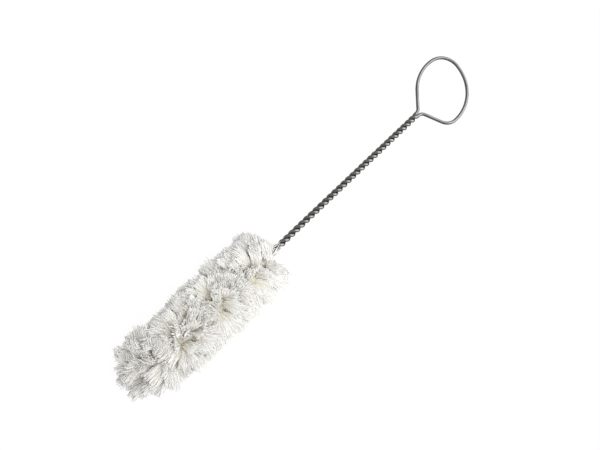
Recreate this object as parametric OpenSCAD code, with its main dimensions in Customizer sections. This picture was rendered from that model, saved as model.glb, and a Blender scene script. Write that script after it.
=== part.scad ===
// Cotton bottle brush.
// One wire is folded in half. The fold makes the finger loop, and the two legs are twisted into
// a stem and grip short lengths of cotton yarn, which stand out as a round mop head.
// The brush lies on its side: X runs along the stem towards the loop, Z is up, and the origin is
// on the surface that it lies on, under the middle of its outline.

/* [Wire] */
// Diameter of the steel wire
wire_d = 1.6; // [1.2:0.05:2]
// Clearance between the two legs of the wire where they twist round each other
wire_gap = 0.04; // [0.02:0.01:0.2]

/* [Stem] */
// Length of bare twisted stem between the loop and the cotton
stem_length = 105; // [60:1:160]
// Length of one turn of the twist beside the loop, as a multiple of the wire's diameter
loop_end_turn = 3.7; // [3.4:0.1:8]
// Length of one turn of the twist beside the cotton, as a multiple of the wire's diameter
head_end_turn = 4.2; // [3.4:0.1:8]

/* [Finger loop] */
// Width of the loop between the middle lines of its sides
loop_width = 30; // [22:1:40]
// Angle between the stem and the leg of the loop on the +Y side
left_leg_angle = 46; // [40:0.5:54]
// Angle between the stem and the leg of the loop on the -Y side
right_leg_angle = 64.5; // [56:0.5:70]
// Bend radius where each leg leaves the stem
leg_bend_r = 3; // [2:0.5:5]

/* [Cotton head] */
// Length of the cotton head
head_length = 91; // [60:1:120]
// Diameter of the head over its yarn ends, at the middle
head_d = 34; // [26:1:44]
// Length of one turn of the twist inside the head
head_pitch = 14; // [12:0.1:18]
// How far the gripped yarn moves each leg of the wire out
grip_spread = 0.45; // [0.35:0.05:0.8]
// Thickness of a yarn bundle where the wire grips it
neck_d = 0.5; // [0.3:0.05:0.7]
// Clearance between the yarn ends of neighbouring tufts
tuft_gap = 0.4; // [0.2:0.05:1]
// Angle that the last yarn leans over the end of the wire
tip_lean = 66; // [40:1:75]
// Angle that the first yarn leans back along the stem
stem_lean = 10; // [0:1:40]
// Depth of the flat that the head settles into where it lies
flat_depth = 1.2; // [0.6:0.1:2.5]

/* [Hidden] */
TUFTS = 41;

function tuft_name(i) = str("yarn_tuft_", i < 10 ? "0" : "", i);

wire_r = wire_d / 2;
head_r = head_d / 2;
axis_height = head_r - flat_depth;

// ---- Twist ----
// Steps that one turn of the twist is drawn in. Each cuts inside the round, so the helix is that much wider.
TURN_STEPS = 12;
pair_pitch = wire_d + wire_gap;
stem_r = pair_pitch / 2 / cos(180 / TURN_STEPS);
grip_r = stem_r + grip_spread;
loop_end_pitch = loop_end_turn * pair_pitch;
head_end_pitch = head_end_turn * pair_pitch;

// Distances s run along the axis from the loop towards the tip of the head.
// The legs of the loop part this far down the stem, and from there the twist tightens over its first bit.
loop_lead = 2;
tighten_length = 2.5;
yarn_length = head_r - grip_r - wire_r;
spread_length = 4;
spread_end = stem_length + spread_length;
first_grip = stem_length + max(spread_length, yarn_length * sin(stem_lean)) + 0.5;
// The last tuft is this wide past its own grip.
tip_room = 1;
last_grip = stem_length + head_length - yarn_length - tip_room;
wire_end = last_grip + 1.5;

function blend(a, b, t) = a + (b - a) * t * t * (3 - 2 * t);
function share(x, from, to) = min(1, max(0, (x - from) / (to - from)));
// Places along the axis with the rate of the twist there, in degrees a millimetre
TWIST_RATES = [
    [loop_lead, 0],
    [loop_lead + tighten_length, 360 / loop_end_pitch],
    [stem_length, 360 / head_end_pitch],
    [spread_end, 360 / head_pitch],
    [stem_length + head_length, 360 / head_pitch]];
// Angle wound up to s, which is the area under straight lines between those rates
function wound(s, i = 0) = i == len(TWIST_RATES) - 1 ? 0
    : let (
        from = TWIST_RATES[i],
        to = TWIST_RATES[i + 1],
        span = to[0] - from[0],
        d = min(max(s - from[0], 0), span))
    from[1] * d + (to[1] - from[1]) * d * d / span / 2 + wound(s, i + 1);
function twist(s) = -wound(s);
function strand_r(s) = blend(stem_r, grip_r, share(s, stem_length, spread_end));
function round_axis(x, r, a) = [x, r * cos(a), r * sin(a)];
// One leg of the wire, on side 0 or 180 of the yarn that it grips
function strand_point(s, side) = round_axis(-s, strand_r(s), side + twist(s));

// ---- Finger loop ----
// Bends of the loop, from the left leg round to the right leg: radius on a 30 wide loop, and angle
LOOP_BENDS = [[21, 55], [9.7, 85], [20.5, 56], [22, 33]];
last_bend_r = 7;
loop_scale = loop_width / 30;
leg_turn = left_leg_angle + right_leg_angle + 180;
loop_turns = concat(
    [[leg_bend_r, left_leg_angle]],
    [for (b = LOOP_BENDS) [b[0] * loop_scale, -b[1]]],
    [[last_bend_r * loop_scale, -(leg_turn - turn_sum(LOOP_BENDS))], [leg_bend_r, right_leg_angle]]);
loop_start = [-loop_lead, stem_r];
loop_end = [-loop_lead, -stem_r];

function turn_sum(list, i = 0) = i == len(list) ? 0 : list[i][1] + turn_sum(list, i + 1);
function heading(a) = [cos(a), sin(a)];
// Step made by an arc of radius r that starts at heading h and turns by t
function arc_step(r, h, t) =
    let (side = sign(t)) side * r * ([sin(h + t), -cos(h + t)] - [sin(h), -cos(h)]);
// Where the bends alone would lead, with no straight legs
function bend_sum(i = 0, h = 0) = i == len(loop_turns) ? [0, 0]
    : arc_step(loop_turns[i][0], h, loop_turns[i][1]) + bend_sum(i + 1, h + loop_turns[i][1]);
// The two straight legs close the loop: their lengths solve left * a + right * b = what is left to cover
left_heading = heading(left_leg_angle);
right_heading = heading(180 - right_leg_angle);
to_cover = loop_end - loop_start - bend_sum();
cross_legs = left_heading[0] * right_heading[1] - left_heading[1] * right_heading[0];
left_leg = (to_cover[0] * right_heading[1] - to_cover[1] * right_heading[0]) / cross_legs;
right_leg = (left_heading[0] * to_cover[1] - left_heading[1] * to_cover[0]) / cross_legs;

// The loop as a list of runs: length, heading at the start and turn
last_turn = len(loop_turns) - 1;
function start_heading(i) = i == 0 ? 0 : start_heading(i - 1) + loop_turns[i - 1][1];
function bend_run(i) = [loop_turns[i][0] * abs(loop_turns[i][1]) * PI / 180, start_heading(i), loop_turns[i][1]];
loop_runs = concat(
    [bend_run(0), [left_leg, left_leg_angle, 0]],
    [for (i = [1:last_turn - 1]) bend_run(i)],
    [[right_leg, 180 - right_leg_angle, 0], bend_run(last_turn)]);
function run_step(run, d) = run[2] == 0 ? d * heading(run[1])
    : arc_step(run[0] / abs(run[2]) * 180 / PI, run[1], run[2] * d / run[0]);
function length_sum(i) = i == 0 ? 0 : length_sum(i - 1) + loop_runs[i - 1][0];
function place_sum(i) = i == 0 ? loop_start : place_sum(i - 1) + run_step(loop_runs[i - 1], loop_runs[i - 1][0]);
run_starts = [for (i = [0:len(loop_runs)]) length_sum(i)];
run_places = [for (i = [0:len(loop_runs) - 1]) place_sum(i)];
loop_length = run_starts[len(loop_runs)];
function run_at(d, i = 0) = i == len(loop_runs) - 1 || d < run_starts[i + 1] ? i : run_at(d, i + 1);

// Point of the loop at distance d along it
function loop_point(d) =
    let (i = run_at(d), place = run_places[i] + run_step(loop_runs[i], d - run_starts[i])) [place[0], place[1], 0];

// ---- Wire ----
WIRE_SIDES = 8;
stem_step = loop_end_pitch / TURN_STEPS;
grip_step = head_pitch / TURN_STEPS;
loop_step = 1.8;
function steps(from, to, step) =
    let (n = ceil((to - from) / step)) [for (k = [0:n - 1]) from + (to - from) * k / n];
leg_stations = concat(steps(loop_lead, spread_end, stem_step), steps(spread_end, wire_end, grip_step), [wire_end]);
loop_stations = concat(steps(0, loop_length, loop_step), [loop_length]);

// The whole path of the folded wire: up one leg, round the loop and back down the other leg
wire_path = concat(
    [for (k = [len(leg_stations) - 1:-1:1]) strand_point(leg_stations[k], 0)],
    [for (d = loop_stations) loop_point(d)],
    [for (k = [1:len(leg_stations) - 1]) strand_point(leg_stations[k], 180)]);

function unit(v) = v / norm(v);
function square_to(u, t) = unit(u - (u * t) * t);
function tangents(path) =
    let (n = len(path)) [for (i = [0:n - 1]) unit(path[min(i + 1, n - 1)] - path[max(i - 1, 0)])];
// Section directions carried along the path without turning round it
function carried(tangent) =
    [for (i = 0, u = square_to([0, 0, 1], tangent[0]); i < len(tangent);
        i = i + 1, u = i < len(tangent) ? square_to(u, tangent[i]) : u) u];

module swept_wire(path) {
    tangent = tangents(path);
    across = carried(tangent);
    n = len(path);
    points = [for (i = [0:n - 1], k = [0:WIRE_SIDES - 1])
        let (a = 360 * k / WIRE_SIDES) path[i] + wire_r * (cos(a) * across[i] + sin(a) * cross(tangent[i], across[i]))];
    polyhedron(points, tube_faces(n, WIRE_SIDES), convexity = 10);
}

// Faces of a tube of n rings with m points each, closed by flat ends
function tube_faces(n, m) = concat(
    [[for (k = [0:m - 1]) k]],
    [for (i = [0:n - 2], k = [0:m - 1]) [i * m + k, (i + 1) * m + k, i * m + (k + 1) % m]],
    [for (i = [0:n - 2], k = [0:m - 1]) [(i + 1) * m + k, (i + 1) * m + (k + 1) % m, i * m + (k + 1) % m]],
    [[for (k = [m - 1:-1:0]) (n - 1) * m + k]]);

// ---- Yarn tufts ----
tuft_step = (last_grip - first_grip) / (TUFTS - 1);
tuft_turn = 360 * tuft_step / head_pitch;
mid_grip = (first_grip + last_grip) / 2;
half_grip = (last_grip - first_grip) / 2;
// Radius at which the spacing between tufts is reckoned
spread_r = 0.85 * head_r;
neck_r = neck_d / 2;
neck_out = grip_r + wire_r + 0.15;
shoulder_out = neck_out + 1.3;
LOBES = 6;
RING = 2 * LOBES;

// Every near tuft end on the rolled-out head, as its distance along and around from one tuft end
function wrapped(a) = a - 360 * round(a / 360);
near_ends = [for (k = [-9:9], side = [0, 180])
    if (k != 0) [k * tuft_step, wrapped(side - k * tuft_turn) * PI / 180 * spread_r]];
// Room that a tuft end has in direction a before it is halfway to the next one
function room(a) =
    min([for (e = near_ends) let (towards = e * heading(a)) towards > 0.01 ? e * e / towards / 2 : head_d])
    - tuft_gap / 2;

// Lean of the yarn at s: upright at the middle of the head, leaning outwards towards its ends.
// It stops short of a right angle, so that the yarn closes round the end of the wires.
most_lean = 84;
function lean(s) =
    let (u = (s - mid_grip) / half_grip) min(most_lean, (u > 0 ? tip_lean : -stem_lean) * pow(abs(u), 5));
// Place of a point of the yarn that is gripped at s, at distance out along it
function on_head(s, out, along, around, a) =
    let (
        tilt = lean(s + along),
        free = out - neck_out,
        p = round_axis(-(s + along + free * sin(tilt)), neck_out + free * cos(tilt), a + around))
    [p[0], p[1], max(p[2], -axis_height)];

// Rings of one tuft end: share of the reach, and how full its yarn ends and the grooves between them are
TUFT_RINGS = [[0.5, 0.95, 0.88], [0.84, 1, 0.8]];
shoulder_fill = 0.7;
// The blunt ends of the outer yarns
tip_fill = 0.84;
tip_groove_fill = 0.62;
tip_groove_reach = 0.87;
// The groove round the yarn at the middle
inner_fill = 0.4;
inner_reach = 0.88;
ragged = 0.08;

function spread_point(s, out, fill, t, a) =
    let (w = fill * room(t)) on_head(s, out, w * cos(t), w * sin(t) / spread_r * 180 / PI, a);
// One end of tuft i as rings from the neck outwards; turn is 1 on one side of the stem and -1 on the other
function tuft_end(i, turn) =
    let (
        s = first_grip + i * tuft_step,
        a = 90 * turn + twist(s),
        rough = rands(0, ragged, LOBES + 1, 100 * i + turn + 7))
    concat(
        [[for (k = [0:RING - 1]) let (t = 360 * k / RING * turn)
            on_head(s, neck_out, neck_r * cos(t), neck_r * sin(t) / neck_out * 180 / PI, a)]],
        [[for (k = [0:RING - 1]) spread_point(s, shoulder_out, shoulder_fill, 360 * k / RING * turn, a)]],
        [for (r = TUFT_RINGS) [for (k = [0:RING - 1])
            spread_point(s, r[0] * head_r, k % 2 == 0 ? r[1] : r[2], 360 * k / RING * turn, a)]],
        [[for (k = [0:RING - 1]) k % 2 == 0
            ? spread_point(s, head_r * (1 - rough[k / 2]), tip_fill, 360 * k / RING * turn, a)
            : spread_point(s, head_r * tip_groove_reach, tip_groove_fill, 360 * k / RING * turn, a)]],
        [[for (k = [0:RING - 1])
            spread_point(s, head_r * inner_reach, inner_fill, 360 * k / RING * turn, a)]],
        [[on_head(s, head_r * (1 - rough[LOBES]), 0, 0, a)]]);

function reversed(list) = [for (k = [len(list) - 1:-1:0]) list[k]];
function tuft_points(i) =
    let (left = tuft_end(i, 1), right = tuft_end(i, -1)) [for (ring = concat(reversed(right), left)) each ring];
// Faces of a tube of n rings closed by a single point before the first ring and after the last
function tuft_faces(n, m) = concat(
    [for (k = [0:m - 1]) [0, 1 + k, 1 + (k + 1) % m]],
    [for (i = [0:n - 2], k = [0:m - 1]) [1 + i * m + k, 1 + (i + 1) * m + k, 1 + i * m + (k + 1) % m]],
    [for (i = [0:n - 2], k = [0:m - 1])
        [1 + (i + 1) * m + k, 1 + (i + 1) * m + (k + 1) % m, 1 + i * m + (k + 1) % m]],
    [for (k = [0:m - 1]) [1 + n * m, 1 + (n - 1) * m + (k + 1) % m, 1 + (n - 1) * m + k]]);

// ---- Placing ----
far_x = max([for (p = wire_path) p[0]]) + wire_r;
all_yarn = [for (i = [0:TUFTS - 1]) each tuft_points(i)];
tip_x = min([for (p = all_yarn) p[0]]);
mid_x = (far_x + tip_x) / 2;
mid_y = (max([for (p = all_yarn) p[1]]) + min([for (p = all_yarn) p[1]])) / 2;

module placed() {
    translate([-mid_x, -mid_y, axis_height]) children();
}

module stem_wire() {
    color("#97999d") placed() swept_wire(wire_path);
}

module yarn_tuft(i) {
    color(i % 2 == 0 ? "#f3f1ea" : "#e9e7df") placed()
        polyhedron(tuft_points(i), tuft_faces(2 * (len(TUFT_RINGS) + 4), RING), convexity = 6);
}

stem_wire();
for (i = [0:TUFTS - 1]) {
    yarn_tuft(i);
}
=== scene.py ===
"""Cotton bottle brush: one folded steel wire twisted into a stem, gripping a round head of cotton yarn.

The CAD solids are the frame. Each is replaced by a finer piece on the same path: the wire by smooth
drawn steel, and every yarn tuft by locks of cotton yarn that end in loose crinkled threads.
Lengths in this file are in millimetres until a mesh is made, where they become metres. A place s
along the brush is measured from the finger loop towards the tip.
"""

import math

import bpy
import numpy as np
from mathutils import Matrix, Vector


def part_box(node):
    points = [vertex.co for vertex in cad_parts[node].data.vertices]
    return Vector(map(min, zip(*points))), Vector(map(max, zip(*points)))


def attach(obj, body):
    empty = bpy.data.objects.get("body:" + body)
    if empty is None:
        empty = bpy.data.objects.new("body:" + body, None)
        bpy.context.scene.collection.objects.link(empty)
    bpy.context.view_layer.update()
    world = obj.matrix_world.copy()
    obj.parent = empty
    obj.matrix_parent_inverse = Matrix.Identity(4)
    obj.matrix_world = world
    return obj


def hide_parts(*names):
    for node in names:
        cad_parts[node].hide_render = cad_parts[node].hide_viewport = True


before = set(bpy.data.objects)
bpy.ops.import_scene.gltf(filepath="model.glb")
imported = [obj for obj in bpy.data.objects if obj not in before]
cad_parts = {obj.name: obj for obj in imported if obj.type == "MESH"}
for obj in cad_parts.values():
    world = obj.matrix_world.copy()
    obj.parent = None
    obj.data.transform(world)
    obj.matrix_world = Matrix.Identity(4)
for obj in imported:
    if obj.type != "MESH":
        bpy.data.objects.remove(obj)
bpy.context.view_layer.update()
MM = 0.001
TAU = 2 * math.pi

# ---- Sizes, as the construction has them ----
WIRE_D = 1.6
WIRE_GAP = 0.04
# The twist of the bare stem: length of a turn at both its ends, in pitches of the pair of legs
STEM_LENGTH = 105.0
LOOP_END_TURN = 3.7
HEAD_END_TURN = 4.2
TURN_STEPS = 12
# The finger loop: angles of its two legs, then bends as (radius, degrees), and the way into the twist
LEFT_LEG = math.radians(46)
RIGHT_LEG = math.radians(64.5)
LEG_BEND_R = 3.0
LOOP_BENDS = [(21.0, 55.0), (9.7, 85.0), (20.5, 56.0), (22.0, 33.0)]
LAST_BEND_R = 7.0
LOOP_LEAD = 2.0
TIGHTEN_LENGTH = 2.5
# The head: the yarn holds the legs apart, so that the twist is longer there
HEAD_LENGTH = 91.0
HEAD_D = 34.0
HEAD_PITCH = 14.0
GRIP_SPREAD = 0.45
SPREAD_LENGTH = 4.0
FIRST_GRIP_ROOM = 0.5
TUFTS = 41
TUFT_GAP = 0.4
TIP_LEAN = math.radians(66)
STEM_LEAN = math.radians(10)
MOST_LEAN = math.radians(84)
TIP_ROOM = 1.0
WIRE_PAST_YARN = 1.5
LEAN_POWER = 5

wire_r = WIRE_D / 2
head_r = HEAD_D / 2
pair_pitch = WIRE_D + WIRE_GAP
stem_r = pair_pitch / 2 / math.cos(math.pi / TURN_STEPS)
grip_r = stem_r + GRIP_SPREAD
yarn_length = head_r - grip_r - wire_r
first_grip = STEM_LENGTH + max(SPREAD_LENGTH, yarn_length * math.sin(STEM_LEAN)) + FIRST_GRIP_ROOM
last_grip = STEM_LENGTH + HEAD_LENGTH - yarn_length - TIP_ROOM
wire_end = last_grip + WIRE_PAST_YARN
tuft_step = (last_grip - first_grip) / (TUFTS - 1)

# Places along the axis from the loop, and the rate of the twist at each in radians a millimetre
TWIST_PLACES = np.cumsum([
    LOOP_LEAD, TIGHTEN_LENGTH, STEM_LENGTH - LOOP_LEAD - TIGHTEN_LENGTH,
    SPREAD_LENGTH, HEAD_LENGTH - SPREAD_LENGTH])
TWIST_RATES = TAU / np.array([
    math.inf, LOOP_END_TURN * pair_pitch, HEAD_END_TURN * pair_pitch, HEAD_PITCH, HEAD_PITCH])


# ---- Path of the wire ----
def smooth(x):
    """Goes from 0 to 1 as x does, level at both ends."""
    x = np.clip(x, 0, 1)
    return x * x * (3 - 2 * x)


def unit(v):
    """The same directions with length one."""
    return v / np.linalg.norm(v, axis=-1, keepdims=True)


def twist(s):
    """Angle of the twist at s: the area under straight lines between the rates, right-handed."""
    spans, slopes = np.diff(TWIST_PLACES), np.diff(TWIST_RATES)
    wound = np.concatenate([[0], np.cumsum(spans * (TWIST_RATES[1:] + TWIST_RATES[:-1]) / 2)])
    i = np.clip(np.searchsorted(TWIST_PLACES, s, side="right") - 1, 0, len(spans) - 1)
    d = np.clip(s, TWIST_PLACES[0], TWIST_PLACES[-1]) - TWIST_PLACES[i]
    return -(wound[i] + TWIST_RATES[i] * d + (slopes / spans)[i] * d * d / 2)


def strand(s, side):
    """One leg of the wire: a helix about the stem's axis that widens where the yarn begins."""
    r = stem_r + (grip_r - stem_r) * smooth((s - STEM_LENGTH) / SPREAD_LENGTH)
    a = side + twist(s)
    return np.stack([-s, r * np.cos(a), r * np.sin(a)], -1)


def loop_runs():
    """The loop as runs (length, heading, turn): arcs and two straight legs, whose lengths close it."""
    right_turns = [(r, math.radians(a)) for r, a in LOOP_BENDS]
    last_turn = LEFT_LEG + RIGHT_LEG + math.pi - sum(a for _, a in right_turns)
    right_turns.append((LAST_BEND_R, last_turn))
    runs = [[LEG_BEND_R * LEFT_LEG, 0.0, LEFT_LEG], [0.0, LEFT_LEG, 0.0]]
    heading = LEFT_LEG
    for r, a in right_turns:
        runs.append([r * a, heading, -a])
        heading -= a
    runs += [[0.0, heading, 0.0], [LEG_BEND_R * RIGHT_LEG, heading, RIGHT_LEG]]
    covered = sum(run_step(run, run[0]) for run in runs)
    legs = np.array([[math.cos(LEFT_LEG), math.cos(heading)], [math.sin(LEFT_LEG), math.sin(heading)]])
    runs[1][0], runs[-2][0] = np.linalg.solve(legs, np.array([0, -2 * stem_r]) - covered)
    return runs


def run_step(run, d):
    """Step made by the first d of a run."""
    length, heading, turn = run
    if turn == 0:
        return np.stack([d * math.cos(heading), d * math.sin(heading)], -1)
    r, h = length / turn, heading + turn * d / length
    return r * np.stack([np.sin(h) - math.sin(heading), math.cos(heading) - np.cos(h)], -1)


def loop_path(step):
    """The loop, level, from the end of one leg's twist to the other's."""
    place, parts = np.array([-LOOP_LEAD, stem_r]), []
    for run in loop_runs():
        d = np.linspace(0, run[0], max(2, math.ceil(run[0] / step)), endpoint=False)
        parts.append(place + run_step(run, d))
        place = place + run_step(run, run[0])
    middle = np.concatenate(parts)
    return np.concatenate([middle, np.zeros((len(middle), 1))], -1)


def wire_path(step):
    """The folded wire from cut end to cut end: up one leg, round the loop and down the other leg."""
    s = np.linspace(LOOP_LEAD, wire_end, math.ceil((wire_end - LOOP_LEAD) / step))
    return np.concatenate([strand(s[:0:-1], 0), loop_path(1.5 * step), strand(s, math.pi)])


WIRE_STEP = 0.25
wire = wire_path(WIRE_STEP)

# The stem's axis in the shared frame, from the wire's box
wire_low, wire_high = (np.array(corner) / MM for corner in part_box("stem_wire"))
junction_x = wire_high[0] - (wire[:, 0].max() + wire_r)
axis_y = (wire_low[1] + wire_high[1] - wire[:, 1].min() - wire[:, 1].max()) / 2
axis_z = (wire_low[2] + wire_high[2] - wire[:, 2].min() - wire[:, 2].max()) / 2
brush_origin = np.array([junction_x, axis_y, axis_z])

# ---- Camera ----
VIEW_TILT = math.radians(20)
VIEW_ROLL = math.radians(43.52)
VIEW_DISTANCE = 548.0
LENS, SENSOR = 70, 36
AIM_ALONG = 87.04
AIM_ASIDE = 0.3
aim = brush_origin + np.array([-AIM_ALONG, AIM_ASIDE, 0])
backwards = Vector((-math.sin(VIEW_TILT), 0, math.cos(VIEW_TILT)))
side_x = Vector((math.cos(VIEW_TILT), 0, math.sin(VIEW_TILT)))
side_y = Vector((0, 1, 0))
right = math.cos(VIEW_ROLL) * side_x - math.sin(VIEW_ROLL) * side_y
up = math.sin(VIEW_ROLL) * side_x + math.cos(VIEW_ROLL) * side_y
camera_data = bpy.data.cameras.new("camera")
camera_data.lens, camera_data.sensor_width = LENS, SENSOR
camera_data.clip_start, camera_data.clip_end = 0.02, 20
camera = bpy.data.objects.new("camera", camera_data)
bpy.context.scene.collection.objects.link(camera)
camera.matrix_world = Matrix((
    (right.x, up.x, backwards.x, aim[0] * MM + backwards.x * VIEW_DISTANCE * MM),
    (right.y, up.y, backwards.y, aim[1] * MM + backwards.y * VIEW_DISTANCE * MM),
    (right.z, up.z, backwards.z, aim[2] * MM + backwards.z * VIEW_DISTANCE * MM),
    (0, 0, 0, 1)))
bpy.context.scene.camera = camera


# ---- Meshes ----
def tube_rings(path, across, radius, sides):
    """Rings round paths: at each point a circle of that radius, square to the path, from across on."""
    ahead = np.concatenate([path[..., 1:, :], path[..., -1:, :]], -2)
    behind = np.concatenate([path[..., :1, :], path[..., :-1, :]], -2)
    t = unit(ahead - behind)
    u = unit(across - (across * t).sum(-1, keepdims=True) * t)
    v = np.cross(t, u)
    a = np.arange(sides) * TAU / sides
    ring = np.cos(a)[:, None] * u[..., None, :] + np.sin(a)[:, None] * v[..., None, :]
    return path[..., None, :] + radius[..., None, None] * ring


def tube_faces(tubes, rings, sides):
    """Four-sided faces along tubes that lie one after another, and a flat end at both ends of each."""
    k = np.arange(sides)
    i = np.arange(rings - 1)[:, None]
    start = np.arange(tubes)[:, None, None] * rings * sides
    near, far = start + i * sides, start + (i + 1) * sides
    following = (k + 1) % sides
    walls = np.stack([near + k, near + following, far + following, far + k], -1).reshape(-1, 4)
    first = start[:, 0] + k[::-1]
    last = start[:, 0] + (rings - 1) * sides + k
    return [walls, np.concatenate([first, last])]


def add_mesh(name, points, faces, smooth, attributes, material):
    """A mesh at the origin from points, lists of faces, which are smooth, and values at the points."""
    mesh = bpy.data.meshes.new(name)
    sizes = np.concatenate([np.full(len(f), f.shape[1]) for f in faces])
    corners = np.concatenate([f.ravel() for f in faces])
    mesh.vertices.add(len(points))
    mesh.vertices.foreach_set("co", (points * MM).astype(np.float32).ravel())
    mesh.loops.add(len(corners))
    mesh.loops.foreach_set("vertex_index", corners.astype(np.int32))
    mesh.polygons.add(len(sizes))
    starts = np.concatenate([[0], np.cumsum(sizes)[:-1]])
    mesh.polygons.foreach_set("loop_start", starts.astype(np.int32))
    mesh.polygons.foreach_set("use_smooth", np.repeat(smooth, [len(f) for f in faces]))
    mesh.update(calc_edges=True)
    for label, values in attributes.items():
        kind, part = ("FLOAT", "value") if values.ndim == 1 else ("FLOAT_VECTOR", "vector")
        attribute = mesh.attributes.new(label, kind, "POINT")
        attribute.data.foreach_set(part, values.astype(np.float32).ravel())
    mesh.materials.append(material)
    piece = bpy.data.objects.new(name, mesh)
    bpy.context.scene.collection.objects.link(piece)
    return piece


# ---- Materials ----
def colour(text):
    """Linear colour from a screen colour written as #rrggbb."""
    values = [int(text[i:i + 2], 16) / 255 for i in (1, 3, 5)]
    return tuple(v / 12.92 if v <= 0.04045 else ((v + 0.055) / 1.055) ** 2.4 for v in values) + (1.0,)


def add(tree, kind, settings=None, **inputs):
    """Adds a node with its properties as settings and its inputs, each a value or a socket.

    An input goes by its socket's name, with _ for a space, or by n and its number."""
    made = tree.nodes.new(kind)
    for key, value in (settings or {}).items():
        setattr(made, key, value)
    for key, value in inputs.items():
        numbered = key[0] == "n" and key[1:].isdigit()
        socket = made.inputs[int(key[1:]) if numbered else key.replace("_", " ")]
        if isinstance(value, bpy.types.NodeSocket):
            tree.links.new(value, socket)
        else:
            socket.default_value = value
    return made


def new_material(name):
    """An empty material and its tree."""
    material = bpy.data.materials.new(name)
    material.use_nodes = True
    material.node_tree.nodes.clear()
    return material, material.node_tree


def drawn_steel():
    """Tinned steel drawn through a die: fine lines along the wire break its reflection up across it.

    The drawn attribute unrolls the wire: its section in two values and its length in the third."""
    material, tree = new_material("drawn_steel_wire")
    way = add(tree, "ShaderNodeAttribute", {"attribute_name": "drawn"})
    lines = add(tree, "ShaderNodeMapping", Vector=way.outputs["Vector"], Scale=(9.0, 9.0, 0.12))
    fine = add(tree, "ShaderNodeTexNoise", Vector=lines.outputs["Vector"], Scale=1.0, Detail=3.0)
    blotch = add(tree, "ShaderNodeTexNoise", Vector=way.outputs["Vector"], Scale=0.22, Detail=2.0)
    tone = add(tree, "ShaderNodeValToRGB", Fac=blotch.outputs["Fac"])
    dull, bright = tone.color_ramp.elements
    dull.position, bright.position = 0.3, 0.7
    dull.color, bright.color = colour("#929290"), colour("#abaaa7")
    rough = add(tree, "ShaderNodeMapRange", Value=fine.outputs["Fac"], To_Min=0.2, To_Max=0.34)
    bump = add(tree, "ShaderNodeBump", Height=fine.outputs["Fac"], Strength=0.25, Distance=0.02 * MM)
    steel = add(tree, "ShaderNodeBsdfPrincipled", Base_Color=tone.outputs["Color"], Metallic=1.0,
                Roughness=rough.outputs["Result"], Normal=bump.outputs["Normal"])
    add(tree, "ShaderNodeOutputMaterial", Surface=steel.outputs["BSDF"])
    return material


def cotton_yarn():
    """Loose bleached cotton: matt with a soft sheen, and fine fibres along each thread.

    The reach attribute paints it creamier and a little darker deep inside the head, a painted warm shade
    for the light that bounces among its yarn, and tone is each thread's lightness, with painted shade
    towards the tip.
    The fibre attribute unrolls a thread as drawn does the wire."""
    material, tree = new_material("bleached_cotton_yarn")
    reach = add(tree, "ShaderNodeAttribute", {"attribute_name": "reach"})
    tone = add(tree, "ShaderNodeAttribute", {"attribute_name": "tone"})
    fibre = add(tree, "ShaderNodeAttribute", {"attribute_name": "fibre"})
    lines = add(tree, "ShaderNodeMapping", Vector=fibre.outputs["Vector"], Scale=(1.3, 1.3, 0.1))
    fine = add(tree, "ShaderNodeTexNoise", Vector=lines.outputs["Vector"], Scale=1.0, Detail=4.0)
    # Painted shade: yarn deep inside the head is coloured creamier and darker than at its ends
    painted_depth_shade = add(tree, "ShaderNodeValToRGB", Fac=reach.outputs["Fac"])
    deep, outside = painted_depth_shade.color_ramp.elements
    deep.position, outside.position = 0.45, 0.95
    deep.color, outside.color = colour("#f5f0e2"), colour("#faf9f6")
    mixed = add(tree, "ShaderNodeMath", {"operation": "MULTIPLY_ADD"},
                n0=fine.outputs["Fac"], n1=0.08, n2=tone.outputs["Fac"])
    shade = add(tree, "ShaderNodeMix", {"data_type": "RGBA", "blend_type": "MULTIPLY"},
                Factor=1.0, n6=painted_depth_shade.outputs["Color"])
    light = mixed.outputs[0]
    grey = add(tree, "ShaderNodeCombineColor", Red=light, Green=light, Blue=light)
    tree.links.new(grey.outputs["Color"], shade.inputs[7])
    bump = add(tree, "ShaderNodeBump", Height=fine.outputs["Fac"], Strength=0.25, Distance=0.3 * MM)
    cotton = add(tree, "ShaderNodeBsdfPrincipled", Base_Color=shade.outputs[2], Roughness=0.9,
                 Normal=bump.outputs["Normal"])
    cotton.inputs["Specular IOR Level"].default_value = 0.2
    cotton.inputs["Sheen Weight"].default_value = 0.25
    cotton.inputs["Sheen Roughness"].default_value = 0.5
    add(tree, "ShaderNodeOutputMaterial", Surface=cotton.outputs["BSDF"])
    return material


steel, cotton = drawn_steel(), cotton_yarn()


# ---- Wire ----
WIRE_SIDES = 20
CUT_END_SHARE = 0.8


def carried(path):
    """A direction square to the path at each point, carried along it without turning round it."""
    t = unit(np.gradient(path, axis=0))
    u = np.empty_like(t)
    u[0] = unit(np.cross(t[0], np.cross([0, 0, 1.0], t[0])))
    for i in range(1, len(t)):
        u[i] = u[i - 1] - (u[i - 1] @ t[i]) * t[i]
        u[i] /= np.linalg.norm(u[i])
    return u


def add_wire():
    """The round wire on its path, a little thinner at its cut ends."""
    sides = WIRE_SIDES
    length = np.concatenate([[0], np.cumsum(np.linalg.norm(np.diff(wire, axis=0), axis=1))])
    radius = np.full(len(wire), wire_r)
    radius[[0, -1]] *= CUT_END_SHARE
    rings = tube_rings(wire, carried(wire), radius, sides)
    a = np.broadcast_to(np.arange(sides) * TAU / sides, (len(wire), sides))
    along = np.broadcast_to(length[:, None], a.shape)
    drawn = np.stack([wire_r * np.cos(a), wire_r * np.sin(a), along], -1).reshape(-1, 3)
    points = (rings + brush_origin).reshape(-1, 3)
    faces = tube_faces(1, len(wire), sides)
    piece = add_mesh("drawn_wire", points, faces, [True, False], {"drawn": drawn}, steel)
    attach(piece, "root")
    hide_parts("stem_wire")


add_wire()

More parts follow.
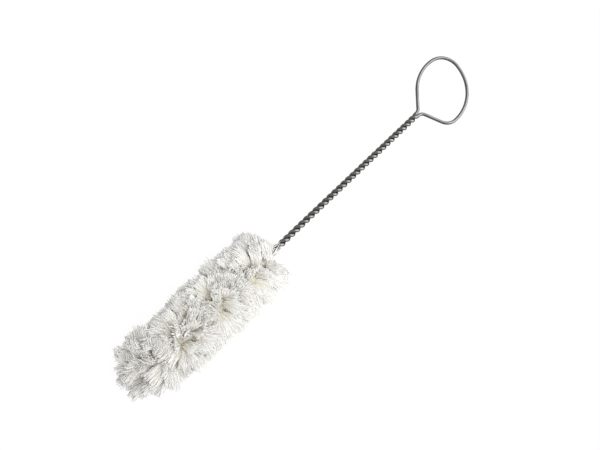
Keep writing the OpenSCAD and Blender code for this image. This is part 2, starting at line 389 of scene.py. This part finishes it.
# ---- Cotton ----
# In each tuft: full locks on a side, and more of them in the last tufts, which close the tip
LOCKS = 6
TIP_LOCKS = 3
TIP_TUFTS = 4
# Short locks on a side, ribs round a lock, threads in a lock and stray fibres of a full lock
SHORT_LOCKS = 3
RIBS = 8
THREADS = 24
FIBRES = 4
# Places along a lock and along its threads, as shares of the lock's length
STATIONS = np.array([0.0, 0.2, 0.42, 0.62, 0.8, 0.93, 1.0])
THREAD_STATIONS = np.array([0.36, 0.62, 0.82, 0.94, 1.04])
# Yarn's reach on the +Y and the -Y side as shares of the head, at places from the stem to the tip
PLUS_Y_REACH = ([0, 0.12, 0.5, 0.8, 1], [0.7, 0.91, 0.91, 0.88, 1.12])
MINUS_Y_REACH = ([0, 0.12, 0.35, 0.6, 0.85, 1], [0.74, 0.85, 0.88, 0.88, 0.86, 0.9])
# How far ends lie aside on top of the head, at places from the stem to the tip
ASIDE_ON_TOP = ([0, 0.3, 0.8, 1], [8.0, 7.5, 6.0, 2.0])
# The angle that the parting wanders to both sides, and its rate and that of the sway in radians a mm
PART_WANDER, PART_RATE = 0.2, 0.12
SWAY, SWAY_RATE = 3.0, 0.3
# Near the stem the yarn is parted over this length, by this power of the share of a quarter turn
PARTED_LENGTH, PARTED_POWER = 16.0, 0.45
# The wavy wall of yarn at the stem end: its height, its rates across and upwards, and where they start
START_WAVE, WAVE_RATES, WAVE_STARTS = 0.6, (0.8, 0.7), (0.4, 0.9)
START_ROOM = 4.0
PRESSED_SHARE = 0.75
FLOOR_CLEARANCE = 0.25
FLOOR_SOFTNESS = 1.2
# Near the stem the painted depth shade is lifted right to the yarn's root, lightening the shaded nook
# there, fading over the first tufts
SHADE_LIFT_ROOT, SHADE_LIFT_TUFTS = 0.5, 8
NECK_CLEARANCE = 0.15
ROLLED_OUT_SHARE = 0.85
GOLDEN = math.pi * (3 - math.sqrt(5))
# Sides of threads and fibres, and the radii at which bodies and they take up the fibres' pattern
HAIR_SIDES = 3
BODY_ROUND, HAIR_ROUND, MOST_SHIFT = 2.0, 0.25, 50
TONE_SPREAD = 0.04
# Painted shade: how much darker the yarn's tone is made at the tip
TIP_PAINTED_SHADE = 0.12
FIRST_SEED = 1000

spread_r = ROLLED_OUT_SHARE * head_r
neck_out = grip_r + wire_r + NECK_CLEARANCE
start_line = STEM_LENGTH + START_ROOM
tuft_turn = TAU * tuft_step / HEAD_PITCH
mid_grip, half_grip = (first_grip + last_grip) / 2, (last_grip - first_grip) / 2


def wrapped(a):
    """The same angle between minus and plus half a turn."""
    return a - TAU * np.round(a / TAU)


def head_share(s):
    """Place along the head, from 0 at the first grip to 1 at the last."""
    return (s - first_grip) / (last_grip - first_grip)


def room(a, neighbours=9, least=0.01):
    """Room for a tuft's end in direction a on the rolled-out head, up to halfway to the next ends."""
    k = np.array([k for k in range(-neighbours, neighbours + 1) if k != 0])
    ends = np.concatenate([np.stack([k * tuft_step, wrapped(side - k * tuft_turn) * spread_r], -1)
                           for side in (0, math.pi)])
    towards = np.cos(a)[..., None] * ends[:, 0] + np.sin(a)[..., None] * ends[:, 1]
    halfway = np.where(towards > least, (ends ** 2).sum(1) / np.maximum(towards, least) / 2, HEAD_D)
    return halfway.min(-1) - TUFT_GAP / 2


def lean(s):
    """Lean of yarn gripped at s: upright, and outwards with a high power close to the head's ends."""
    u = (s - mid_grip) / half_grip
    return np.minimum(MOST_LEAN, np.where(u > 0, TIP_LEAN, -STEM_LEAN) * np.abs(u) ** LEAN_POWER)


def fullness(s, a):
    """How far yarn at s and angle a reaches, as a share of the head: between the +Y and the -Y side's."""
    plus_y, minus_y = np.interp(head_share(s), *PLUS_Y_REACH), np.interp(head_share(s), *MINUS_Y_REACH)
    share = (1 - np.cos(a)) / 2
    return plus_y * (1 - share) + minus_y * share


def parted(s, a):
    """Angle of yarn gripped at s and set at angle a: near the stem, yarn on top parts to both sides."""
    from_top = wrapped(a - math.pi / 2)
    share = np.abs(from_top) / (math.pi / 2)
    spread = np.where(share < 1, share ** PARTED_POWER, share) * np.sign(from_top) * math.pi / 2
    most = smooth(1 - (s - first_grip) / PARTED_LENGTH)
    return a + most * (spread - from_top)


def on_head(s, out, along, a):
    """Place of a point of yarn gripped at s: out along it, moved along, at angle a round the stem."""
    tilt = lean(s + along)
    a = parted(s + along, a)
    free = np.maximum(out - neck_out, 0)
    radius = np.minimum(out, neck_out) + free * np.cos(tilt)
    return np.stack([-(s + along + free * np.sin(tilt)), radius * np.cos(a), radius * np.sin(a)], -1)


def above_floor(points, clearance):
    """Lifts what would sink under the surface the brush lies on, pressing it together just above.

    Heights under one softness shrink exponentially towards the clearance."""
    floor = -axis_z + clearance
    over = points[..., 2] - floor
    soft = FLOOR_SOFTNESS
    pressed = np.where(over < soft, soft * np.exp(np.minimum(over / soft - 1, 0)), over)
    return np.concatenate([points[..., :2], (floor + pressed)[..., None]], -1)


def behind_start(points, inset):
    """Presses together what would reach past the wavy wall at the stem end, at an inset behind it."""
    across, upwards = (np.sin(rate * points[..., k] + start)
                       for k, rate, start in zip((1, 2), WAVE_RATES, WAVE_STARTS))
    over = np.maximum(points[..., 0] + start_line + inset + START_WAVE * across * upwards, 0)
    return np.concatenate([(points[..., 0] - PRESSED_SHARE * over)[..., None], points[..., 1:]], -1)


def lies_over(s, a):
    """How far the ends of yarn set at s and angle a lie over, along and around the head.

    On top they lie away from a wandering parting, and everywhere they sway to and fro along the head."""
    top_start, top_span, sharpness, sway_turn, sway_start = 0.35, 1.1, 1.8, 1.7, 0.7
    from_part = wrapped(a - math.pi / 2 - PART_WANDER * np.sin(PART_RATE * s))
    on_top = smooth((np.cos(from_part) + top_start) / top_span)
    aside = np.interp(head_share(s), *ASIDE_ON_TOP) * on_top * np.tanh(sharpness * np.sin(from_part))
    sway = SWAY * np.sin(SWAY_RATE * s + sway_turn * np.sin(a + sway_start))
    return np.stack([sway, aside], -1)


def tuft_locks(i, rng):
    """Middle lines of the flat locks of yarn of tuft i, distances out along them, and their widths' ways.

    The locks spread over the tuft's own cell of the rolled-out head like seeds in a sunflower, on both
    sides of the stem. A lock runs out from the grip to its place in the cell, fanning out, and lies over
    towards its end. At the tip, inner locks stand along the stem's axis and close it. The last locks
    are shorter and fill the gaps between the full ones, whose count comes with them."""
    inner_along, fan_length, crest_drop, crest_half, crest_end = 3.5, 7.0, 0.13, 3.4, 6
    short_length, short_over, inner_length, cell_share = 0.82, 0.7, 0.85, 0.9
    turn_jitter, over_jitter, length_jitter, way_jitter = 0.15, 1.6, 0.04, 0.4
    reach_power, curl_power = 0.9, 2.2
    each = LOCKS + (TIP_LOCKS if i >= TUFTS - TIP_TUFTS else 0)
    full = 2 * each
    n = full + 2 * SHORT_LOCKS
    turn = np.concatenate([np.repeat([1.0, -1.0], each), np.repeat([1.0, -1.0], SHORT_LOCKS)])
    k = np.concatenate([np.tile(np.arange(each), 2), np.tile(np.arange(SHORT_LOCKS) + each / 2, 2)])
    s = first_grip + i * tuft_step
    start = turn * math.pi / 2 + twist(s)
    a = k * GOLDEN + np.where(turn > 0, *rng.uniform(0, TAU, 2)) + rng.normal(0, turn_jitter, n)
    w = cell_share * np.sqrt((k + 0.5) / each) * room(a)
    along, around = w * np.cos(a), w * np.sin(a)
    inner = (k >= LOCKS) & (i >= TUFTS - TIP_TUFTS)
    along = np.where(inner, inner_along + tuft_step * (TUFTS - 1 - i) * 0.5, along)
    over = lies_over(s + along, start + around / spread_r) + rng.normal(0, over_jitter, (n, 2))
    crest = 1 - crest_drop * (1 - head_share(s) ** crest_end) * (along / crest_half) ** 2
    length = head_r * fullness(s, start) * crest * (1 + rng.normal(0, length_jitter, n))
    length[full:] *= short_length
    over[full:] *= short_over
    length[inner] *= inner_length
    out = STATIONS * length[:, None]
    fan = smooth(out / fan_length)
    reach = (out / head_r) ** reach_power
    curl = STATIONS ** curl_power
    moved = along[:, None] * reach + over[:, :1] * curl
    angle = start[:, None] + (around[:, None] * fan + over[:, 1:] * curl) / spread_r
    middle = on_head(s, out, moved, angle)
    across = unit(over[:, ::-1] * [-1, 1] + rng.normal(0, way_jitter, (n, 2)))[:, None]
    round_way = np.stack([np.zeros_like(angle), -np.sin(angle), np.cos(angle)], -1)
    wide = across[..., 1:] * round_way - across[..., :1] * np.array([1.0, 0, 0])
    return middle, out, wide, full


def lock_frame(middle, wide):
    """Directions along each middle line, across the width and through the thickness."""
    t = unit(np.gradient(middle, axis=1))
    wide = unit(wide - (wide * t).sum(-1, keepdims=True) * t)
    return t, wide, np.cross(t, wide)


def lock_shape(n, rng):
    """What each of n locks is like: how it widens and thickens with distance, and how it is cupped."""
    return {
        "widens": rng.normal(0.175, 0.03, n),
        "thickens": rng.normal(0.075, 0.01, n),
        "cup": rng.normal(0.1, 0.12, n)}


def flank(shape, out, a):
    """Offsets from a lock's middle line to its flank at angle a, distances out: a flat cupped round."""
    neck_wide, neck_thick = 0.3, 0.25
    each = {key: value[:, None, None] for key, value in shape.items()}
    half_wide = neck_wide + each["widens"] * out[..., None]
    half_thick = neck_thick + each["thickens"] * out[..., None]
    x = np.cos(a)
    return half_wide * x, half_thick * np.sin(a) + each["cup"] * half_wide * x * x


def lock_bodies(middle, out, wide, shape, rng):
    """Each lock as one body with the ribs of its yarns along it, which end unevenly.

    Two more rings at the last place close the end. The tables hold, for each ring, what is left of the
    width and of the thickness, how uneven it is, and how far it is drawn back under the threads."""
    width_left = [1.0] * 5 + [0.92, 0.82, 0.76, 0.68]
    thickness_left = [1.0] * 4 + [0.85, 0.55, 0.28, 0.15, 0.05]
    uneven = [0] * 4 + [0.3, 0.7, 1, 1, 1]
    drawn_back = [0] * 5 + [0.5, 0.9, 0.8, 0.7]
    turn_jitter, groove_depth, end_jitter = 0.06, (0.1, 0.38), 0.45
    n, sides = len(middle), 2 * RIBS
    t, wide, deep = lock_frame(middle, wide)
    last = middle[:, -1:]
    middle = np.concatenate([middle, last, last], 1)
    t, wide, deep = (np.concatenate([v, v[:, -1:], v[:, -1:]], 1)[:, :, None] for v in (t, wide, deep))
    out = np.concatenate([out, out[:, -1:], out[:, -1:]], 1)
    a = np.arange(sides) * TAU / sides + rng.uniform(-turn_jitter, turn_jitter, (n, 1, sides))
    groove = np.where(np.arange(sides) % 2 == 0, 1.0, 1 - rng.uniform(*groove_depth, (n, 1, sides)))
    x, y = flank(shape, out, a)
    x = x * np.array(width_left)[:, None]
    y = y * groove * np.array(thickness_left)[:, None]
    ragged = rng.normal(0, end_jitter, (n, 1, sides)) * np.array(uneven)[:, None]
    ragged = ragged - np.array(drawn_back)[:, None]
    return middle[:, :, None] + x[..., None] * wide + y[..., None] * deep + ragged[..., None] * t


def packed_heart(i, rng):
    """The yarn of tuft i packed together deep inside: a bud on each side that fills the tuft's own cell.

    It stays low in the first and last tufts, where the head is open to view from its end."""
    low_at_stem, low_at_tip, low, high = 4, 3, 0.4, 0.78
    sides, overlap, jitter = 24, 1.1, 0.12
    s = first_grip + i * tuft_step
    height = low if i < low_at_stem or i >= TUFTS - low_at_tip else high
    out = head_r * np.array([0.2, 0.32, 0.42, 0.5, 0.55, 0.58, 0.59]) * height
    fill = np.array([0.5, 0.85, 1.0, 1.0, 0.85, 0.5, 0.12])
    a = np.arange(sides) * TAU / sides
    turn = np.array([1.0, -1.0])[:, None, None]
    w = overlap * fill[:, None] * room(a) * (1 + rng.normal(0, jitter, (2, len(out), sides)))
    start = turn * math.pi / 2 + twist(np.array(s))
    out, around = out[:, None] * fullness(s, start), w * np.sin(a) / spread_r
    return on_head(s, out, turn * w * np.cos(a), start + around)


def loose_threads(middle, out, wide, shape, rng):
    """Crinkled threads spread evenly over both faces of each lock's outer half, with their radii.

    They run on past the lock's body to their own uneven cut ends, where they fray apart."""
    depth_in, fray, crinkle_size, end_jitter, thickness = (0.75, 1.15), 0.16, 0.24, 0.45, (0.8, 1.2)
    n, m, a_face = len(middle), len(THREAD_STATIONS), THREADS // 2
    frame_there = []
    for v in (middle,) + lock_frame(middle, wide):
        there = [[np.interp(THREAD_STATIONS, STATIONS, line[:, k]) for k in range(3)] for line in v]
        frame_there.append(np.array(there).transpose(0, 2, 1))
    place, t, wide, deep = frame_there
    place[:, -1] += (THREAD_STATIONS[-1] - 1) * out[:, -1:] * t[:, -1]
    face, place_in = np.divmod(np.arange(THREADS), a_face)
    evenly = -1 + (2 * place_in + rng.uniform(0, 2, (n, THREADS))) / a_face
    a = (np.arccos(np.clip(evenly, -1, 1)) * (1 - 2 * face))[:, None]
    x, y = flank(shape, THREAD_STATIONS * out[:, -1:], a)
    inside = np.sqrt(rng.uniform(*depth_in, (n, 1, THREADS)))
    frays = rng.normal(0, fray, (2, n, 1, THREADS)) * smooth((THREAD_STATIONS - 0.6) / 0.44)[:, None]
    crinkle = rng.normal(0, crinkle_size, (2, n, m, THREADS))
    x, y = x * inside + frays[0] + crinkle[0], y * inside + frays[1] + crinkle[1]
    path = place[:, :, None] + x[..., None] * wide[:, :, None] + y[..., None] * deep[:, :, None]
    towards_end = smooth((THREAD_STATIONS - 0.5) / 0.5)[:, None, None]
    uneven = rng.normal(0, end_jitter, (n, 1, THREADS, 1)) * towards_end
    path = (path + uneven * t[:, :, None]).transpose(0, 2, 1, 3).reshape(n * THREADS, m, 3)
    thick = np.array([0.22, 0.27, 0.28, 0.28, 0.2]) * rng.uniform(*thickness, (n * THREADS, 1))
    return path, thick


def stray_fibres(middle, wide, rng):
    """Single stray fibres that leave the locks near their ends and curve away, with their radii."""
    n, steps = len(middle) * FIBRES, 6
    tip = np.repeat(middle[:, -1], FIBRES, 0)
    t = np.repeat(unit(middle[:, -1] - middle[:, -3]), FIBRES, 0)
    from_back = rng.uniform(1.0, 6.0, n)[:, None]
    aside = rng.normal(0, 0.7, (n, 3))
    aside = aside + rng.uniform(-2.5, 2.5, (n, 1)) * np.repeat(wide[:, -1], FIBRES, 0)
    away = rng.normal(0, 0.8, (n, 3))
    past = rng.uniform(0.0, 1.6, n)[:, None]
    u = np.linspace(0, 1, steps)[None, :, None]
    first = (tip - t * from_back + aside)[:, None]
    path = first + u * ((from_back + past) * t)[:, None] + u ** 2 * away[:, None]
    root_r, end_r = 0.055, 0.02
    return path, np.broadcast_to(np.linspace(root_r, end_r, steps), (n, steps))


def wisps(rng):
    """Fine wisps of the first tuft, which lie back along the stem and lift off a little, with radii."""
    count, steps = 40, 6
    u = np.linspace(0, 1, steps)
    back = rng.uniform(3.5, 9.0, (count, 1)) * u
    lift = rng.uniform(0.0, 0.4, (count, 1)) + rng.uniform(0.0, 1.6, (count, 1)) * u ** 2
    on_wire = stem_r + wire_r + NECK_CLEARANCE
    radius = on_wire + GRIP_SPREAD * (1 - smooth(back / SPREAD_LENGTH)) + lift
    a = rng.uniform(-0.4, 3.6, (count, 1)) + rng.normal(0, 0.5, (count, 1)) * u
    path = np.stack([back - first_grip, radius * np.cos(a), radius * np.sin(a)], -1)
    root_r, end_r = 0.18, 0.09
    return path, np.broadcast_to(np.linspace(root_r, end_r, steps), (count, steps))


def hair_rings(path, radius):
    """Three-sided rings along fine hairs, whose first corners all face one slanting way."""
    slanting = [0.6, 0.64, 0.48]
    return tube_rings(path, np.broadcast_to(slanting, path.shape), radius, HAIR_SIDES)


def yarn_values(rings, way, tone, rng):
    """Values at the points of tubes of yarn: fibre in three columns, then reach and tone.

    way is each ring's share of the head's radius. A tube's shift in fibre gives it its own noise."""
    tubes, count, sides, _ = rings.shape
    grid = (tubes, count, sides)
    a = np.arange(sides) * TAU / sides
    round_r = BODY_ROUND if sides > HAIR_SIDES else HAIR_ROUND
    shift = rng.uniform(0, MOST_SHIFT, (tubes, 1, 1))
    tone = rng.uniform(*tone, (tubes, 1, 1))
    fibre = [round_r * np.cos(a) + shift, round_r * np.sin(a), (way * head_r)[:, None]]
    columns = fibre + [way[:, None], tone]
    return np.stack([np.broadcast_to(column, grid) for column in columns], -1).reshape(-1, 5)


def add_tuft(i):
    """One tuft as a piece: its packed heart, the bodies of its locks, their threads and stray fibres."""
    rng = np.random.default_rng(FIRST_SEED + i)
    middle, out, wide, full = tuft_locks(i, rng)
    shape = lock_shape(len(middle), rng)
    bodies = lock_bodies(middle, out, wide, shape, rng)
    path, thick = loose_threads(middle, out, wide, shape, rng)
    across = np.broadcast_to(unit(rng.normal(0, 1, (len(path), 1, 3)) * [1, 0.2, 0.2]), path.shape)
    threads = tube_rings(path, across, thick, HAIR_SIDES)
    fibres = hair_rings(*stray_fibres(middle[:full], wide[:full], rng))
    # Less painted shade near the stem: the yarn there, heart included, is coloured lighter to lift the
    # nook's shade
    shade_lift = SHADE_LIFT_ROOT * max(0, 1 - i / SHADE_LIFT_TUFTS)
    # Rings, their shares of the head's radius, their lightest tone, and how deep they stay at the start.
    # The packed heart deep inside gets a lower tone: painted shade
    parts = [
        (packed_heart(i, rng), np.linspace(0.1, 0.6, 7) + shade_lift, 0.87 + 0.1 * shade_lift, 1.3),
        (bodies, np.append(STATIONS, [1.0, 0.9]) + shade_lift, 0.96, 1.0),
        (threads, THREAD_STATIONS + shade_lift, 0.98, 0.0),
        (fibres, np.ones(6), 0.97, 0.0)]
    if i == 0:
        parts.append((hair_rings(*wisps(rng)), np.ones(6), 0.97, -STEM_LENGTH))
    # The yarn is painted a little greyer towards the tip: painted shade for the light that falls off
    # there
    grey = TIP_PAINTED_SHADE * (i / (TUFTS - 1)) ** 3
    points, faces, is_smooth, values, first = [], [], [], [], 0
    for rings, way, lightest, inset in parts:
        tubes, count, sides, _ = rings.shape
        values.append(yarn_values(rings, way, (lightest - TONE_SPREAD - grey, lightest - grey), rng))
        faces += [f + first for f in tube_faces(tubes, count, sides)]
        is_smooth += [sides > HAIR_SIDES, False]
        # What stays deeper also stays higher over the floor, under the threads
        clearance = FLOOR_CLEARANCE + 0.4 * max(inset, 0)
        points.append(above_floor(behind_start(rings, inset), clearance).reshape(-1, 3))
        first += tubes * count * sides
    values = np.concatenate(values)
    attributes = {"fibre": values[:, :3], "reach": values[:, 3], "tone": values[:, 4]}
    node = f"yarn_tuft_{i + 1:02d}"
    points = np.concatenate(points) + brush_origin
    piece = add_mesh("cotton_" + node, points, faces, is_smooth, attributes, cotton)
    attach(piece, "root")
    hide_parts(node)


for i in range(TUFTS):
    add_tuft(i)


# ---- Floor and light ----
def white_floor():
    """Matt white paper. The camera sees it nearly self-lit, so that only a faint shadow is left.

    The steel mirrors a greyer floor, which keeps its lower flanks dark."""
    material, tree = new_material("white_paper_sweep")
    path = add(tree, "ShaderNodeLightPath")
    seen = add(tree, "ShaderNodeMath", {"operation": "MULTIPLY"},
               n0=path.outputs["Is Camera Ray"], n1=0.95)
    paper = add(tree, "ShaderNodeBsdfDiffuse", Color=colour("#dcdcdc"))
    shade = add(tree, "ShaderNodeBsdfDiffuse", Color=colour("#6c6c6c"))
    base = add(tree, "ShaderNodeMixShader", Fac=path.outputs["Is Glossy Ray"],
               n1=paper.outputs["BSDF"], n2=shade.outputs["BSDF"])
    glow = add(tree, "ShaderNodeEmission", Color=(1, 1, 1, 1), Strength=1.02)
    mixed = add(tree, "ShaderNodeMixShader", Fac=seen.outputs[0],
                n1=base.outputs["Shader"], n2=glow.outputs["Emission"])
    add(tree, "ShaderNodeOutputMaterial", Surface=mixed.outputs["Shader"])
    return material


FLOOR_HALF = 2500
edge = FLOOR_HALF * MM
corners = [(-edge, -edge, 0), (edge, -edge, 0), (edge, edge, 0), (-edge, edge, 0)]
floor_mesh = bpy.data.meshes.new("floor")
floor_mesh.from_pydata(corners, [], [(0, 1, 2, 3)])
floor_mesh.materials.append(white_floor())
floor = bpy.data.objects.new("floor", floor_mesh)
bpy.context.scene.collection.objects.link(floor)

world = bpy.data.worlds.new("soft_room")
bpy.context.scene.world = world
world.use_nodes = True
tree = world.node_tree
tree.nodes.clear()
path = add(tree, "ShaderNodeLightPath")
seen = add(tree, "ShaderNodeBackground", Color=(1, 1, 1, 1), Strength=1.0)
ray = add(tree, "ShaderNodeTexCoord")
# The room is bright on the right of the view and falls off to the other side
bright_way = (0.5 * backwards + 0.85 * right - 0.05 * up).normalized()
towards = add(tree, "ShaderNodeVectorMath", {"operation": "DOT_PRODUCT"},
              n0=ray.outputs["Generated"], n1=bright_way)
fall_off = add(tree, "ShaderNodeMapRange", Value=towards.outputs["Value"],
               From_Min=-1.0, From_Max=1.0, To_Min=0.02, To_Max=1.06)
room_light = add(tree, "ShaderNodeBackground", Color=(1, 1, 1, 1), Strength=fall_off.outputs["Result"])
# What shines on the steel is a dark room with one wide soft window on the right of the view
window_way = (0.28 * backwards + 0.92 * right + 0.24 * up).normalized()
towards = add(tree, "ShaderNodeVectorMath", {"operation": "DOT_PRODUCT"},
              n0=ray.outputs["Generated"], n1=window_way)
window = add(tree, "ShaderNodeMapRange", {"interpolation_type": "SMOOTHSTEP"},
             Value=towards.outputs["Value"], From_Min=0.55, From_Max=0.88, To_Min=0.33, To_Max=1.8)
dark_room = add(tree, "ShaderNodeBackground", Color=(1, 1, 1, 1), Strength=window.outputs["Result"])
shine = add(tree, "ShaderNodeMixShader", Fac=path.outputs["Is Glossy Ray"],
            n1=room_light.outputs["Background"], n2=dark_room.outputs["Background"])
mixed = add(tree, "ShaderNodeMixShader", Fac=path.outputs["Is Camera Ray"],
            n1=shine.outputs["Shader"], n2=seen.outputs["Background"])
add(tree, "ShaderNodeOutputWorld", Surface=mixed.outputs["Shader"])


def add_light(name, offset, size, power):
    """A soft square lamp, turned towards the camera's aim from an offset in millimetres.

    The steel doesn't mirror it: what shines there is the window of the world."""
    data = bpy.data.lights.new(name, "AREA")
    data.size, data.energy = size * MM, power
    lamp = bpy.data.objects.new(name, data)
    bpy.context.scene.collection.objects.link(lamp)
    lamp.location = Vector((aim + offset) * MM)
    lamp.visible_glossy = False
    lamp.rotation_mode = "QUATERNION"
    lamp.rotation_quaternion = (-Vector(offset)).to_track_quat("-Z", "Y")


add_light("key", 800 * backwards + 165 * right - 75 * up, 300, 2.47)

bpy.context.scene.view_settings.view_transform = "Standard"
